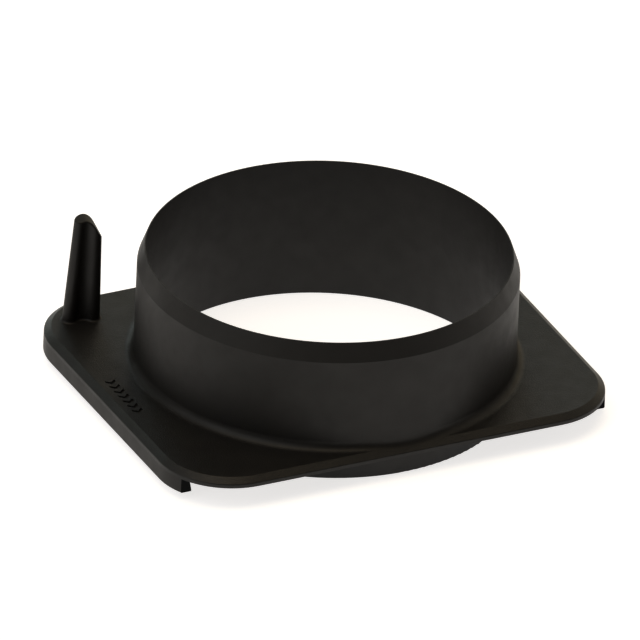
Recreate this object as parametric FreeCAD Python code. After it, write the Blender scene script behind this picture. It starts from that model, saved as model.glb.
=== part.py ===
import FreeCAD, Part
import math
import os

# Throat adapter plate of a kitchen waste disposal unit: a round collar through a
# rectangular slide-in plate, with dovetail rails under its sides and a locating post
# at one corner.
#
# Millimetres. +Z is up along the collar's axis, +X runs from the left rail to the
# right rail, and +Y points to the rear, where the post stands. The origin is on the
# collar's axis, in the plane of the spigot's bottom rim, on which the part stands.

# Plate
PLATE_LENGTH_X = 121.6
PLATE_WIDTH_Y = 100.6
PLATE_THICKNESS = 2.3
PLATE_CORNER_R = 18.7
PLATE_BEVEL_WIDTH = 1.8
PLATE_BEVEL_DROP = 1.3
PLATE_BEVEL_SOFT_R = 0.35
PLATE_UNDERSIDE_Z = 6.0

# Collar
COLLAR_R = 48.0
COLLAR_WALL = 2.0
COLLAR_RISE = 29.7
RIM_FLAT = 0.3
RIM_CHAMFER_HEIGHT = 4.8
FOOT_FILLET_R = 2.3
FLANGE_R = 49.3
FLANGE_THICKNESS = 1.0
LOCATING_BAND_R = 48.5
HOLE_CLEARANCE = 0.1
SPIGOT_EDGE_R = 0.4

# Slide rails under the plate's two sides. Their inner faces are straight and lean in
# towards the bottom, and each half gap is from the middle of the plate to such a face.
RAIL_DEPTH = 4.0
RAIL_HALF_LENGTH = 40.06
RAIL_ROOT_HALF_GAP = 56.6
RAIL_LIP_HALF_GAP = 55.8
RAIL_EDGE_R = 0.3
TONGUE_INSET = 0.9
TONGUE_THICKNESS = 1.0
TONGUE_HEIGHT = 1.0
TONGUE_HALF_LENGTH = 36.0

# Corner post: a half-round back, and a flute between two lobes in front. A section runs
# from "left" to "right" along the line through the centres of its lobes.
POST_X = -48.0
POST_Y = 39.0
POST_TURN = -10.0
POST_LOFT_HEIGHT = 30.0
POST_FOOT = {"left": -5.9, "right": 3.85, "left_r": 1.8, "right_r": 1.9,
             "flute_r": 2.4, "back_r": 5.2}
POST_TIP = {"left": -3.7, "right": 3.3, "left_r": 1.3, "right_r": 1.6,
            "flute_r": 2.0, "back_r": 3.7}
POST_RIDGE_ALONG = 0.6
POST_RIDGE_RISE = 28.4
POST_CROWN_SLOPE = 4.0
POST_LEAD_SLOPE = 61.0
POST_FRONT_SLOPE = 9.0
POST_BLEND_R = 4.0
POST_TIP_R = 0.35
POST_FOOT_FILLET_R = 0.6
PAD_MARGIN = 1.0
PAD_DEPTH = 0.6

# Self-tapping screw that holds the post from below
SCREW_ALONG = -1.1
SCREW_REARWARD = 1.5
SCREW_THREAD_R = 1.1
SCREW_CORE_R = 0.8
SCREW_PITCH = 0.8
SCREW_TURNS = 9
SCREW_TIP_LENGTH = 1.4
SCREW_HEAD_R = 2.2
SCREW_HEAD_HEIGHT = 0.9
SCREW_HEAD_EDGE_R = 0.35
SCREW_HEAD_RECESS = 0.1
SCREW_SLOT_WIDTH = 0.45
SCREW_SLOT_LENGTH = 2.2
SCREW_SLOT_DEPTH = 0.5
SCREW_SEAT_R = 2.5
SCREW_HOLE_R = 1.3
SCREW_PILOT_SPARE = 0.5

# Slide direction mark sunk in the plate's top
MARK_X = -55.8
MARK_Y = -0.5
MARK_COUNT = 7
MARK_PITCH = 2.6
MARK_HALF_WIDTH = 1.35
MARK_ARM = 1.2
MARK_STROKE = 1.0
MARK_DEPTH = 0.4

# How far a cutter runs past what it cuts, and the gap below which two places are one
OVERSHOOT = 1.0
POST_CUTTER_REACH = 20.0
SAME_PLACE = 1e-4

# Worked out from the driving dimensions
PLATE_TOP_Z = PLATE_UNDERSIDE_Z + PLATE_THICKNESS
RIM_Z = PLATE_TOP_Z + COLLAR_RISE
BORE_R = COLLAR_R - COLLAR_WALL
SCREW_HEAD_Z = PLATE_UNDERSIDE_Z + SCREW_HEAD_RECESS
SCREW_SEAT_Z = SCREW_HEAD_Z + SCREW_HEAD_HEIGHT

Vector = FreeCAD.Vector


def point_at(cx, cy, radius, degrees, z):
    """Return the point at an angle on a horizontal circle."""
    angle = math.radians(degrees)
    return Vector(cx + radius * math.cos(angle), cy + radius * math.sin(angle), z)


def plate_outline(inset, z):
    """Return the plate's outline at height z, moved inwards by inset."""
    half_x = PLATE_LENGTH_X / 2 - inset
    half_y = PLATE_WIDTH_Y / 2 - inset
    radius = PLATE_CORNER_R - inset
    corners = [(1, 1, 0), (-1, 1, 90), (-1, -1, 180), (1, -1, 270)]
    arcs = []
    for side_x, side_y, start in corners:
        cx = side_x * (half_x - radius)
        cy = side_y * (half_y - radius)
        arcs.append([point_at(cx, cy, radius, start + turn, z) for turn in (0, 45, 90)])
    edges = []
    for number, arc in enumerate(arcs):
        edges.append(Part.Arc(*arc).toShape())
        edges.append(Part.makeLine(arc[2], arcs[(number + 1) % 4][0]))
    return Part.Wire(edges)


def plate_prism(inset, low_z, high_z):
    """Return a prism on the plate's outline, moved inwards by inset."""
    face = Part.Face(plate_outline(inset, low_z))
    return face.extrude(Vector(0, 0, high_z - low_z))


def cylinder(radius, low_z, high_z, x=0.0, y=0.0):
    """Return an upright cylinder."""
    return Part.makeCylinder(radius, high_z - low_z, Vector(x, y, low_z))


def turned(profile, x=0.0, y=0.0):
    """Return the solid made by turning a list of (radius, z) about an upright axis."""
    points = [Vector(x + radius, y, z) for radius, z in profile]
    face = Part.Face(Part.makePolygon(points + points[:1]))
    return face.revolve(Vector(x, y, 0), Vector(0, 0, 1), 360)


def edges_at(shape, z, radius=None):
    """Return the edges that lie in the plane z, all or only circles of one radius."""
    found = []
    for edge in shape.Edges:
        box = edge.BoundBox
        if max(abs(box.ZMin - z), abs(box.ZMax - z)) > SAME_PLACE:
            continue
        if radius is None:
            found.append(edge)
        elif isinstance(edge.Curve, Part.Circle) and abs(edge.Curve.Radius - radius) < SAME_PLACE:
            found.append(edge)
    return found


# ---------------------------------------------------------------- plate and collar


def make_slab():
    """Return the plain slab, with a bevel of softened corners right round its top."""
    skirt_top_z = PLATE_TOP_Z - PLATE_BEVEL_DROP
    bevel = Part.makeLoft([
        plate_outline(0, skirt_top_z),
        plate_outline(PLATE_BEVEL_WIDTH, PLATE_TOP_Z),
    ], True, True)
    slab = plate_prism(0, PLATE_UNDERSIDE_Z, skirt_top_z).fuse(bevel).removeSplitter()
    corners = edges_at(slab, skirt_top_z) + edges_at(slab, PLATE_TOP_Z)
    return slab.makeFillet(PLATE_BEVEL_SOFT_R, corners)


def make_moulded_blank():
    """Return the plate and collar as one blank, which shares the foot fillet."""
    blank = make_slab().fuse(cylinder(COLLAR_R, 0, RIM_Z)).removeSplitter()
    blank = blank.makeFillet(FOOT_FILLET_R, edges_at(blank, PLATE_TOP_Z, COLLAR_R))
    return blank


def make_collar(blank):
    """Return the flanged tube, cut out of the blank."""
    flange_z = PLATE_TOP_Z - FLANGE_THICKNESS
    upper = blank.common(cylinder(FLANGE_R, flange_z, RIM_Z))
    band = cylinder(LOCATING_BAND_R, PLATE_UNDERSIDE_Z, flange_z)
    collar = upper.fuse(band).fuse(cylinder(COLLAR_R, 0, flange_z)).removeSplitter()
    collar = collar.cut(cylinder(BORE_R, -OVERSHOOT, RIM_Z + OVERSHOOT))
    waste = turned([
        (COLLAR_R + OVERSHOOT, RIM_Z - RIM_CHAMFER_HEIGHT),
        (COLLAR_R, RIM_Z - RIM_CHAMFER_HEIGHT),
        (BORE_R + RIM_FLAT, RIM_Z),
        (COLLAR_R + OVERSHOOT, RIM_Z),
    ])
    collar = collar.cut(waste)
    return collar.makeFillet(SPIGOT_EDGE_R, edges_at(collar, 0))


def make_plate(blank):
    """Return the plate with its collar seat, its side grooves still uncut."""
    flange_z = PLATE_TOP_Z - FLANGE_THICKNESS
    plate = blank.cut(cylinder(FLANGE_R, flange_z, RIM_Z + OVERSHOOT))
    return plate.cut(cylinder(LOCATING_BAND_R + HOLE_CLEARANCE, -OVERSHOOT, RIM_Z))


def make_direction_mark():
    """Return the cutter for a row of chevrons that point along -Y, the way in."""
    low_z = PLATE_TOP_Z - MARK_DEPTH
    chevrons = []
    for number in range(MARK_COUNT):
        y = MARK_Y + MARK_PITCH * (number - (MARK_COUNT - 1) / 2)
        outline = [
            (0, -MARK_ARM / 2 - MARK_STROKE / 2),
            (MARK_HALF_WIDTH, MARK_ARM / 2 - MARK_STROKE / 2),
            (MARK_HALF_WIDTH, MARK_ARM / 2 + MARK_STROKE / 2),
            (0, -MARK_ARM / 2 + MARK_STROKE / 2),
            (-MARK_HALF_WIDTH, MARK_ARM / 2 + MARK_STROKE / 2),
            (-MARK_HALF_WIDTH, MARK_ARM / 2 - MARK_STROKE / 2),
        ]
        points = [Vector(MARK_X + dx, y + dy, low_z) for dx, dy in outline]
        face = Part.Face(Part.makePolygon(points + points[:1]))
        chevrons.append(face.extrude(Vector(0, 0, 2 * MARK_DEPTH)))
    return Part.makeCompound(chevrons)


# ---------------------------------------------------------------- slide rails


def make_tongue_ring():
    """Return the tongue that joins the lip to the plate, right round the outline."""
    high_z = PLATE_UNDERSIDE_Z + TONGUE_HEIGHT
    outside = plate_prism(TONGUE_INSET, PLATE_UNDERSIDE_Z, high_z)
    inset = TONGUE_INSET + TONGUE_THICKNESS
    return outside.cut(plate_prism(inset, PLATE_UNDERSIDE_Z, high_z))


def side_block(side, inner, half_length):
    """Return a block over one side of the plate, from the inner line of two (x, z) points."""
    (low_x, low_z), (high_x, high_z) = inner
    corners = [(low_x, low_z), (PLATE_LENGTH_X, low_z), (PLATE_LENGTH_X, high_z), (high_x, high_z)]
    points = [Vector(side * x, -half_length, z) for x, z in corners]
    face = Part.Face(Part.makePolygon(points + points[:1]))
    return face.extrude(Vector(0, 2 * half_length, 0))


def make_rail(side):
    """Return the rail under the plate's right (+1) or left (-1) side."""
    low_z = PLATE_UNDERSIDE_Z - RAIL_DEPTH
    slide_face = [(RAIL_LIP_HALF_GAP, low_z), (RAIL_ROOT_HALF_GAP, PLATE_UNDERSIDE_Z)]
    lip = plate_prism(0, low_z, PLATE_UNDERSIDE_Z)
    lip = lip.common(side_block(side, slide_face, RAIL_HALF_LENGTH))
    long_edges = [edge for edge in edges_at(lip, low_z) if edge.BoundBox.YLength > SAME_PLACE]
    lip = lip.makeFillet(RAIL_EDGE_R, long_edges)
    middle = [(0, PLATE_UNDERSIDE_Z), (0, PLATE_TOP_Z)]
    tongue = make_tongue_ring().common(side_block(side, middle, TONGUE_HALF_LENGTH))
    return lip.fuse(tongue).removeSplitter()


# ---------------------------------------------------------------- corner post


def post_point(along, rearward, z):
    """Return the point at a place along and behind the line through the post's lobes."""
    turn = math.radians(POST_TURN)
    x = POST_X + along * math.cos(turn) - rearward * math.sin(turn)
    y = POST_Y + along * math.sin(turn) + rearward * math.cos(turn)
    return Vector(x, y, z)


def towards(start, end, distance):
    """Return the point that lies at a distance from start, on the line to end."""
    return start + (end - start).normalize() * distance


def post_section(section, margin, z):
    """Return the post's section at height z, grown by margin on every side."""
    left_r = section["left_r"] + margin
    right_r = section["right_r"] + margin
    flute_r = section["flute_r"] - margin
    back_r = section["back_r"] + margin
    left_along = section["left"] + section["left_r"]
    right_along = section["right"] - section["right_r"]
    span = right_along - left_along

    def centre_in_front(from_left, from_right):
        """Return the point in front of the line at these distances from the lobes."""
        reach = (from_left ** 2 - from_right ** 2 + span ** 2) / (2 * span)
        return post_point(left_along + reach, -math.sqrt(from_left ** 2 - reach ** 2), z)

    left = post_point(left_along, 0, z)
    right = post_point(right_along, 0, z)
    flute = centre_in_front(left_r + flute_r, right_r + flute_r)
    back = centre_in_front(back_r - left_r, back_r - right_r)
    left_front = towards(left, flute, left_r)
    right_front = towards(right, flute, right_r)
    left_back = towards(back, left, back_r)
    right_back = towards(back, right, back_r)
    flute_crown = towards(flute, (left_front + right_front) * 0.5, flute_r)
    back_crown = towards(back, (left_back + right_back) * 0.5, back_r)
    left_end = post_point(left_along - left_r, 0, z)
    right_end = post_point(right_along + right_r, 0, z)
    return Part.Wire([
        Part.Arc(left_back, left_end, left_front).toShape(),
        Part.Arc(left_front, flute_crown, right_front).toShape(),
        Part.Arc(right_front, right_end, right_back).toShape(),
        Part.Arc(right_back, back_crown, left_back).toShape(),
    ])


def make_tip_block():
    """Return the block that fills the space below the post's tip.

    Its top runs from a nearly level crown through a round blend to a steep lead slope,
    and all of it falls a little towards the front.
    """
    reach = POST_CUTTER_REACH
    crown = math.radians(POST_CROWN_SLOPE)
    lead = math.radians(POST_LEAD_SLOPE)
    halfway = (crown + lead) / 2
    fall = reach * math.tan(math.radians(POST_FRONT_SLOPE))
    ridge_z = PLATE_TOP_Z + POST_RIDGE_RISE

    def rear_point(from_ridge, rise):
        """Return the point of the rear profile at a place measured from the ridge."""
        return post_point(POST_RIDGE_ALONG + from_ridge, reach, ridge_z + rise + fall)

    def slope_point(angle, distance):
        """Return the rear point at a distance down a slope from the ridge."""
        return rear_point(distance * math.cos(angle), -distance * math.sin(angle))

    trim = POST_BLEND_R * math.tan((lead - crown) / 2)
    to_crest = POST_BLEND_R / math.cos((lead - crown) / 2) - POST_BLEND_R
    blend_crest = rear_point(-to_crest * math.sin(halfway), -to_crest * math.cos(halfway))
    crown_end = slope_point(crown, -trim)
    lead_start = slope_point(lead, trim)
    crown_far = slope_point(crown, -reach)
    lead_far = slope_point(lead, reach)
    bottom_right = lead_far - Vector(0, 0, reach)
    bottom_left = Vector(crown_far.x, crown_far.y, bottom_right.z)
    profile = Part.Wire([
        Part.makeLine(crown_far, crown_end),
        Part.Arc(crown_end, blend_crest, lead_start).toShape(),
        Part.makeLine(lead_start, lead_far),
        Part.makeLine(lead_far, bottom_right),
        Part.makeLine(bottom_right, bottom_left),
        Part.makeLine(bottom_left, crown_far),
    ])
    to_front = post_point(0, -reach, -fall) - post_point(0, reach, fall)
    return Part.Face(profile).extrude(to_front)


def make_post():
    """Return the post with its sloping tip, foot fillet and sunk foot pad."""
    foot = post_section(POST_FOOT, 0, PLATE_TOP_Z)
    tip = post_section(POST_TIP, 0, PLATE_TOP_Z + POST_LOFT_HEIGHT)
    post = Part.makeLoft([foot, tip], True, True).common(make_tip_block())
    halfway_up = PLATE_TOP_Z + POST_LOFT_HEIGHT / 2
    tip_edges = [edge for edge in post.Edges if edge.BoundBox.ZMin > halfway_up]
    post = post.makeFillet(POST_TIP_R, tip_edges)
    post = post.fuse(make_post_pad()).removeSplitter()
    level = edges_at(post, PLATE_TOP_Z)
    seam = [edge for edge in level if edge.distToShape(foot)[0] < SAME_PLACE]
    post = post.makeFillet(POST_FOOT_FILLET_R, seam)
    pilot_end = SCREW_SEAT_Z + SCREW_PITCH * SCREW_TURNS + SCREW_TIP_LENGTH + SCREW_PILOT_SPARE
    return post.cut(screw_cylinder(SCREW_THREAD_R, PLATE_UNDERSIDE_Z, pilot_end))


def make_post_pad():
    """Return the foot pad, which is sunk in the plate with its top flush."""
    face = Part.Face(post_section(POST_FOOT, PAD_MARGIN, PLATE_TOP_Z - PAD_DEPTH))
    return face.extrude(Vector(0, 0, PAD_DEPTH))


def screw_cylinder(radius, low_z, high_z):
    """Return a cylinder on the screw's axis."""
    axis = post_point(SCREW_ALONG, SCREW_REARWARD, 0)
    return cylinder(radius, low_z, high_z, axis.x, axis.y)


def make_post_screw():
    """Return the pan-head self-tapping screw, point up, with ring-shaped threads."""
    ring_half_height = SCREW_PITCH / 4
    profile = [(0, SCREW_HEAD_Z), (SCREW_HEAD_R, SCREW_HEAD_Z), (SCREW_HEAD_R, SCREW_SEAT_Z)]
    profile.append((SCREW_CORE_R, SCREW_SEAT_Z))
    for turn in range(1, SCREW_TURNS):
        z = SCREW_SEAT_Z + SCREW_PITCH * turn
        profile.append((SCREW_CORE_R, z - ring_half_height))
        profile.append((SCREW_THREAD_R, z))
        profile.append((SCREW_CORE_R, z + ring_half_height))
    tip_z = SCREW_SEAT_Z + SCREW_PITCH * SCREW_TURNS
    profile.append((SCREW_CORE_R, tip_z))
    profile.append((0, tip_z + SCREW_TIP_LENGTH))
    axis = post_point(SCREW_ALONG, SCREW_REARWARD, SCREW_HEAD_Z)
    screw = turned(profile, axis.x, axis.y)
    screw = screw.makeFillet(SCREW_HEAD_EDGE_R, edges_at(screw, SCREW_HEAD_Z))
    for length_x, length_y in [(SCREW_SLOT_LENGTH, SCREW_SLOT_WIDTH),
                               (SCREW_SLOT_WIDTH, SCREW_SLOT_LENGTH)]:
        corner = axis - Vector(length_x / 2, length_y / 2, 0)
        screw = screw.cut(Part.makeBox(length_x, length_y, SCREW_SLOT_DEPTH, corner))
    return screw


def make_base_plate(blank, rails):
    """Return the plate with every seat, groove, screw hole and mark cut in it."""
    plate = make_plate(blank)
    for rail in rails:
        plate = plate.cut(rail)
    plate = plate.cut(make_post_pad())
    plate = plate.cut(screw_cylinder(SCREW_HOLE_R, PLATE_UNDERSIDE_Z, PLATE_TOP_Z))
    plate = plate.cut(screw_cylinder(SCREW_SEAT_R, 0, SCREW_SEAT_Z))
    return plate.cut(make_direction_mark())


def export_node(name, shape):
    """Write one node's single solid to its STEP file."""
    solid = shape.Solids[0]
    if len(shape.Solids) != 1 or not solid.isValid():
        raise RuntimeError(name + " is not one valid solid")
    solid.exportStep("parts/" + name + ".step")
    print(name, round(solid.Volume, 1), "mm3")


os.makedirs("parts", exist_ok=True)
moulded_blank = make_moulded_blank()
left_rail = make_rail(-1)
right_rail = make_rail(1)
export_node("base_plate", make_base_plate(moulded_blank, [left_rail, right_rail]))
export_node("collar", make_collar(moulded_blank))
export_node("left_rail", left_rail)
export_node("right_rail", right_rail)
export_node("corner_post", make_post())
export_node("post_screw", make_post_screw())
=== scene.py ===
import math

import bpy
from mathutils import Matrix, Vector

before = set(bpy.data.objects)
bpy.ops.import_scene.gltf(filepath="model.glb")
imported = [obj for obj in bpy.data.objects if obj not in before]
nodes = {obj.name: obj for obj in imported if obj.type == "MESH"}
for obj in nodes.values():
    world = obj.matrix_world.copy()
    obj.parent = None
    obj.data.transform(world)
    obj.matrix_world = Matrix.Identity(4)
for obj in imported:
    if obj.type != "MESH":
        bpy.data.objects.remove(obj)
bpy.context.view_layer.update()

# Looks of a waste disposal throat adapter plate. Everything is in metres, in the
# CAD model's frame: the floor is z = 0 and the collar's axis is the Z axis.
# Colours are linear, and a noise's scale is in cycles per metre.

# Camera: orthographic, aimed from the front left, from above, with a slight roll.
# Its angles are in degrees, and its aim is offset in its own right and up directions.
CAMERA_AZIMUTH = -26.764
CAMERA_ELEVATION = 29.481
CAMERA_ROLL = 2.563
CAMERA_DISTANCE = 0.6
VIEW_WIDTH = 0.16013
AIM_HEIGHT = 0.0083
AIM_OFFSET_RIGHT = -0.00119
AIM_OFFSET_UP = 0.00878
VIEW_GAMMA = 0.8

# Black plastics: the dark and the light of their mottle, their roughness and their grain
GRAINED_BLACKS = ((0.0120, 0.0110, 0.0098), (0.0150, 0.0140, 0.0125))
GRAINED_ROUGHNESS = 0.44
GRAINED_GRAIN_SCALE = 2800.0
GRAINED_GRAIN_HEIGHT = 0.00011
SATIN_BLACKS = ((0.0120, 0.0105, 0.0088), (0.0150, 0.0132, 0.0112))
SATIN_ROUGHNESS = 0.50
SATIN_GRAIN_SCALE = 1800.0
SATIN_GRAIN_HEIGHT = 0.00002
MOTTLE_SCALE = 90.0
MOTTLE_NOISE = (0.35, 0.65)
GLOSS_SCALE = 240.0
GLOSS_NOISE = (0.3, 0.7)
GLOSS_SPREAD = 0.04

# Rail ends: the near black of the shade painted on them, and how squarely a face has to look
# along Y to count as one
PAINTED_END_SHADE = (0.002, 0.002, 0.002)
END_FACING = (0.8, 0.95)

# Zinc-plated steel: the dark and the light of its clouding, and its range of roughness
ZINC_GREYS = ((0.50, 0.49, 0.45), (0.62, 0.61, 0.58))
ZINC_CLOUD_SCALE = 900.0
ZINC_GLOSS_SCALE = 2500.0
ZINC_ROUGHNESS = (0.25, 0.42)

# Floor: a pale grey that also glows, so that it comes out white
FLOOR_SIZE = 6.0
FLOOR_GREY = (0.55, 0.55, 0.55)
FLOOR_ROUGHNESS = 0.9
FLOOR_LIGHT = (1.0, 0.985, 0.975)
FLOOR_GLOW = 0.79

SKY_WHITE = (1.0, 1.0, 1.0)

scene = bpy.context.scene


# ------------------------------------------------------------------ materials


def new_material(name):
    """Return a material with an empty tree and its Principled shader, wired up."""
    material = bpy.data.materials.new(name)
    material.use_nodes = True
    tree = material.node_tree
    tree.nodes.clear()
    output = tree.nodes.new("ShaderNodeOutputMaterial")
    shader = tree.nodes.new("ShaderNodeBsdfPrincipled")
    tree.links.new(shader.outputs["BSDF"], output.inputs["Surface"])
    return material, tree, shader


def add_noise(tree, scale, detail=2.0, roughness=0.5):
    """Add a noise texture on object coordinates."""
    place = tree.nodes.new("ShaderNodeTexCoord")
    noise = tree.nodes.new("ShaderNodeTexNoise")
    noise.inputs["Scale"].default_value = scale
    noise.inputs["Detail"].default_value = detail
    noise.inputs["Roughness"].default_value = roughness
    tree.links.new(place.outputs["Object"], noise.inputs["Vector"])
    return noise.outputs["Fac"]


def add_range(tree, source, span, to_span=(0.0, 1.0)):
    """Add a map range node that stretches source from one span to another."""
    node = tree.nodes.new("ShaderNodeMapRange")
    node.inputs["From Min"].default_value, node.inputs["From Max"].default_value = span
    node.inputs["To Min"].default_value, node.inputs["To Max"].default_value = to_span
    tree.links.new(source, node.inputs["Value"])
    return node.outputs["Result"]


def add_math(tree, operation, *sources):
    """Add a math node on one or two sockets."""
    node = tree.nodes.new("ShaderNodeMath")
    node.operation = operation
    for source, socket in zip(sources, node.inputs):
        tree.links.new(source, socket)
    return node.outputs["Value"]


def add_mix(tree, factor, first, second):
    """Add a colour mix from first, a fixed colour or a socket, to a fixed second colour."""
    node = tree.nodes.new("ShaderNodeMix")
    node.data_type = "RGBA"
    tree.links.new(factor, node.inputs["Factor"])
    if isinstance(first, bpy.types.NodeSocket):
        tree.links.new(first, node.inputs["A"])
    else:
        node.inputs["A"].default_value = (*first, 1.0)
    node.inputs["B"].default_value = (*second, 1.0)
    return node.outputs["Result"]


def moulded_plastic(name, blacks, roughness, grain_scale, grain_height):
    """Return black moulded plastic: mottled colour, uneven gloss and a fine grain."""
    material, tree, shader = new_material(name)
    mottle = add_range(tree, add_noise(tree, MOTTLE_SCALE, detail=4.0), MOTTLE_NOISE)
    tree.links.new(add_mix(tree, mottle, *blacks), shader.inputs["Base Color"])
    gloss = add_range(tree, add_noise(tree, GLOSS_SCALE, detail=3.0), GLOSS_NOISE,
                      (roughness - GLOSS_SPREAD, roughness + GLOSS_SPREAD))
    tree.links.new(gloss, shader.inputs["Roughness"])
    grain = add_noise(tree, grain_scale, detail=3.0, roughness=0.6)
    bump = tree.nodes.new("ShaderNodeBump")
    bump.inputs["Distance"].default_value = grain_height
    bump.inputs["Strength"].default_value = 1.0
    tree.links.new(grain, bump.inputs["Height"])
    tree.links.new(bump.outputs["Normal"], shader.inputs["Normal"])
    return material


def grained_plastic(name):
    """Return the plate's semi-matt, grained plastic."""
    return moulded_plastic(name, GRAINED_BLACKS, GRAINED_ROUGHNESS,
                           GRAINED_GRAIN_SCALE, GRAINED_GRAIN_HEIGHT)


def satin_plastic(name):
    """Return the smooth plastic of the collar, the post and the rails."""
    return moulded_plastic(name, SATIN_BLACKS, SATIN_ROUGHNESS,
                           SATIN_GRAIN_SCALE, SATIN_GRAIN_HEIGHT)


def add_painted_end_shade(material):
    """Paint shade on the faces square to the rails' length: a darker colour that stands in for
    the shade they lie in, and a matt roughness.
    """
    tree = material.node_tree
    shader = tree.nodes["Principled BSDF"]
    place = tree.nodes.new("ShaderNodeTexCoord")
    axes = tree.nodes.new("ShaderNodeSeparateXYZ")
    tree.links.new(place.outputs["Normal"], axes.inputs["Vector"])
    end = add_range(tree, add_math(tree, "ABSOLUTE", axes.outputs["Y"]), END_FACING)
    colour = shader.inputs["Base Color"].links[0].from_socket
    # Painted shade: the end faces' colour is mixed towards near black because they lie in
    # shade
    tree.links.new(add_mix(tree, end, colour, PAINTED_END_SHADE), shader.inputs["Base Color"])
    gloss = shader.inputs["Roughness"].links[0].from_socket
    tree.links.new(add_math(tree, "MAXIMUM", gloss, end), shader.inputs["Roughness"])


def zinc_steel(name):
    """Return bright zinc-plated steel with a faint yellow cast."""
    material, tree, shader = new_material(name)
    cloud = add_noise(tree, ZINC_CLOUD_SCALE, detail=4.0)
    tree.links.new(add_mix(tree, cloud, *ZINC_GREYS), shader.inputs["Base Color"])
    gloss = add_range(tree, add_noise(tree, ZINC_GLOSS_SCALE), GLOSS_NOISE, ZINC_ROUGHNESS)
    tree.links.new(gloss, shader.inputs["Roughness"])
    shader.inputs["Metallic"].default_value = 1.0
    return material


def dress(node, material):
    """Give a CAD node its material."""
    mesh = nodes[node].data
    mesh.materials.clear()
    mesh.materials.append(material)


satin = satin_plastic("collar_plastic")
rail = satin_plastic("rail_plastic")
# The rails' end faces get painted shade, a near black colour, and a matt roughness
add_painted_end_shade(rail)
dress("base_plate", grained_plastic("plate_plastic"))
dress("collar", satin)
dress("left_rail", rail)
dress("right_rail", rail)
dress("corner_post", satin)
dress("post_screw", zinc_steel("screw_steel"))


# ------------------------------------------------------------------ stage


def make_floor():
    """Lay a large white floor, lit through like a light table, that the part stands on.

    It is clear from below, so that the part's underside can be looked at.
    """
    bpy.ops.mesh.primitive_plane_add(size=FLOOR_SIZE, location=(0, 0, 0))
    floor = bpy.context.object
    floor.name = "floor"
    material, tree, shader = new_material("floor_white")
    shader.inputs["Base Color"].default_value = (*FLOOR_GREY, 1.0)
    shader.inputs["Roughness"].default_value = FLOOR_ROUGHNESS
    shader.inputs["Specular IOR Level"].default_value = 0.0
    shader.inputs["Emission Color"].default_value = (*FLOOR_LIGHT, 1.0)
    shader.inputs["Emission Strength"].default_value = FLOOR_GLOW
    side = tree.nodes.new("ShaderNodeNewGeometry")
    clear = tree.nodes.new("ShaderNodeBsdfTransparent")
    one_way = tree.nodes.new("ShaderNodeMixShader")
    tree.links.new(side.outputs["Backfacing"], one_way.inputs["Fac"])
    tree.links.new(shader.outputs["BSDF"], one_way.inputs[1])
    tree.links.new(clear.outputs["BSDF"], one_way.inputs[2])
    tree.links.new(one_way.outputs["Shader"], tree.nodes["Material Output"].inputs["Surface"])
    floor.data.materials.append(material)


def make_world():
    """Give the scene a white sky that only the camera sees, as the lamps do the lighting."""
    world = bpy.data.worlds.new("studio")
    world.use_nodes = True
    background = world.node_tree.nodes["Background"]
    background.inputs["Color"].default_value = (*SKY_WHITE, 1.0)
    world.cycles_visibility.diffuse = False
    world.cycles_visibility.glossy = False
    scene.world = world


def direction(azimuth, elevation):
    """Return the unit vector from the part towards an azimuth and elevation in degrees.

    The azimuth is 0 to the front (-Y), and grows towards the right (+X).
    """
    azimuth, elevation = math.radians(azimuth), math.radians(elevation)
    return Vector((math.sin(azimuth) * math.cos(elevation),
                   -math.cos(azimuth) * math.cos(elevation),
                   math.sin(elevation)))


def add_sun(name, azimuth, elevation, spread, strengths):
    """Add a soft light, spread over an angle, with a strength in red, green and blue."""
    lamp = bpy.data.lights.new(name, "SUN")
    lamp.angle = math.radians(spread)
    lamp.energy = max(strengths)
    lamp.color = [strength / lamp.energy for strength in strengths]
    light = bpy.data.objects.new(name, lamp)
    towards_part = -direction(azimuth, elevation)
    light.rotation_euler = towards_part.to_track_quat("-Z", "Y").to_euler()
    scene.collection.objects.link(light)


def make_camera():
    """Set up the orthographic camera at the photograph's angle."""
    to_camera = direction(CAMERA_AZIMUTH, CAMERA_ELEVATION)
    level_right = Vector((0, 0, 1)).cross(to_camera).normalized()
    level_up = to_camera.cross(level_right)
    roll = math.radians(CAMERA_ROLL)
    right = math.cos(roll) * level_right + math.sin(roll) * level_up
    up = math.cos(roll) * level_up - math.sin(roll) * level_right
    aim = Vector((0, 0, AIM_HEIGHT)) + AIM_OFFSET_RIGHT * right + AIM_OFFSET_UP * up
    lens = bpy.data.cameras.new("camera")
    lens.type = "ORTHO"
    lens.ortho_scale = VIEW_WIDTH
    camera = bpy.data.objects.new("camera", lens)
    turn = Matrix((right, up, to_camera)).transposed()
    camera.matrix_world = Matrix.Translation(aim + CAMERA_DISTANCE * to_camera) @ turn.to_4x4()
    scene.collection.objects.link(camera)
    scene.camera = camera


make_floor()
make_world()

# Each lamp's azimuth, elevation and spread in degrees, and its red, green and blue
add_sun("top", 0, 90, 40, (0.98, 0.82, 0.60))
add_sun("key_left", 270, 42, 65, (1.10, 1.10, 1.08))
add_sun("fill_right", 90, 34, 60, (0.55, 0.50, 0.42))
add_sun("rim_rear", 180, 15, 40, (0.42, 0.47, 0.45))
add_sun("rim_right", 135, 15, 40, (0.34, 0.29, 0.20))
add_sun("rear_right", 150, 30, 40, (0.14, 0.16, 0.18))
make_camera()

# The photograph's tone: deeper blacks than plain sRGB, with the white ground kept white
scene.view_settings.view_transform = "Standard"
scene.view_settings.gamma = VIEW_GAMMA
